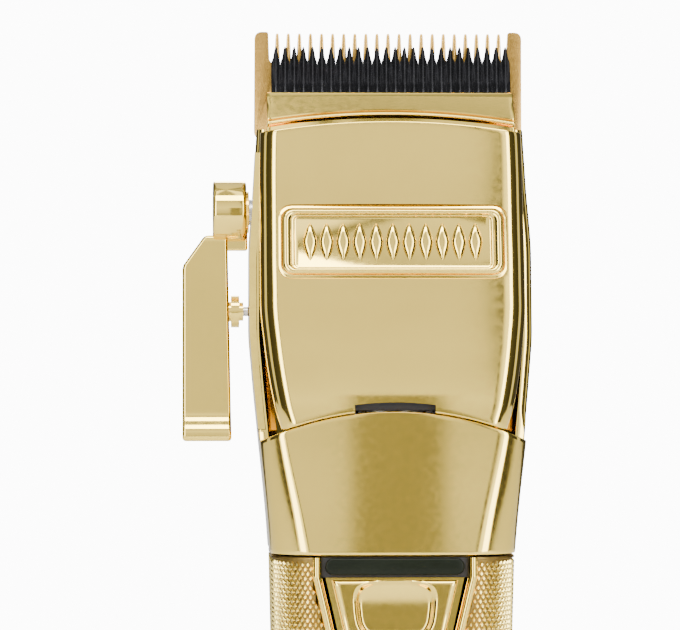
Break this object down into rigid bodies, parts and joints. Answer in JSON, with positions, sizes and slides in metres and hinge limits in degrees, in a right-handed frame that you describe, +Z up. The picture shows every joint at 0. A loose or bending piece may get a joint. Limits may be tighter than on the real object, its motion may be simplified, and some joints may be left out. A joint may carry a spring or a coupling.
{
  "type": "hair clipper",
  "caption": "Cordless hair clipper with a polished gold metal body, knurled grip, taper lever on one side, comb blade and black moving cutter.",
  "frame": {"origin": "centre of the flat foot", "axes": "+Z up from the foot to the blade tips, -Y the front with the name plate and switch, -X the side with the taper lever"},
  "size_m": [0.0593, 0.0379, 0.172],
  "materials": {
    "gold_polished": "polished",
    "gold_satin": "satin",
    "gold_blade": "titanium-gold coated, ground",
    "black_blade": "black carbon coated",
    "steel": "satin",
    "smoked_lens": "smoked, glossy",
    "black_plastic": "fine grain",
    "grey_plastic": "fine grain",
    "rubber_black": "matt",
    "battery_wrap": "shrink wrap",
    "board_green": "solder mask",
    "contact_brass": "plated",
    "light_white": "clear epoxy"
  },
  "bodies": {
    "housing": {"front_cover": "gold_polished", "name_plate": "gold_polished", "neck_cover": "gold_polished", "rear_shell": "gold_polished", "side_plate": "gold_polished", "housing_screws": "steel", "grip_sleeve": "gold_satin", "strip_frame": "gold_polished", "indicator_lens": "smoked_lens", "lens_seal": "rubber_black", "blade_cover": "gold_polished", "blade_spring": "steel", "motor_can": "steel", "motor_bracket": "steel", "motor_screws": "steel", "motor_damper": "rubber_black", "inner_frame": "black_plastic", "carrier_guide": "black_plastic", "battery_cell": "battery_wrap", "battery_cradle": "black_plastic", "control_board": "board_green", "switch_contacts": "black_plastic", "status_light": "light_white", "light_board": "board_green", "charge_board": "board_green", "end_cap": "black_plastic", "cap_screws": "steel", "cap_anchor": "steel", "charging_socket": "black_plastic", "charge_contacts": "contact_brass", "loop_pin": "steel"},
    "lever": {"taper_lever": "gold_polished", "lever_screw": "gold_polished", "lever_cam": "steel", "lever_detent": "gold_polished", "detent_spring": "steel"},
    "click_pin": {"detent_pin": "steel"},
    "fixed_blade_slide": {"fixed_blade": "gold_blade", "blade_carrier": "steel", "blade_screws": "steel"},
    "cutter": {"cutter_blade": "black_blade", "cutter_guide": "grey_plastic"},
    "rotor": {"motor_rotor": "steel", "drive_eccentric": "contact_brass", "drive_bearing": "steel"},
    "switch": {"power_switch": "gold_polished"},
    "loop": {"hanging_loop": "steel"}
  },
  "joints": [
    {"name": "lever_pivot", "type": "hinge", "parent": "housing", "child": "lever", "pos_m": [-0.024, 0.0025, 0.141], "axis": [-1, 0, 0], "range_deg": [0, 26.02]},
    {"name": "blade_taper", "type": "slide", "parent": "housing", "child": "fixed_blade_slide", "axis": [0, 0, 1], "range_m": [-0.0014, 0]},
    {"name": "click_pin_slide", "type": "slide", "parent": "lever", "child": "click_pin", "axis": [-1, 0, 0], "range_m": [0, 0.0004], "stiffness_N_per_m": 800, "springref_m": -0.0004},
    {"name": "cutter_stroke", "type": "slide", "parent": "housing", "child": "cutter", "axis": [1, 0, 0], "range_m": [-0.0014, 0.0006]},
    {"name": "rotor_spin", "type": "hinge", "parent": "housing", "child": "rotor", "pos_m": [0, -0.0021, 0.113], "axis": [0, 0, 1], "continuous": true},
    {"name": "switch_slide", "type": "slide", "parent": "housing", "child": "switch", "axis": [0, 0, 1], "range_m": [-0.003, 0]},
    {"name": "loop_fold", "type": "hinge", "parent": "housing", "child": "loop", "pos_m": [0, 0.013, 0.0014], "axis": [1, 0, 0], "range_deg": [0, 95]}
  ],
  "couplings": [
    {"joint": "lever_pivot", "follows": "blade_taper", "rad_per_m": -324.13}
  ]
}
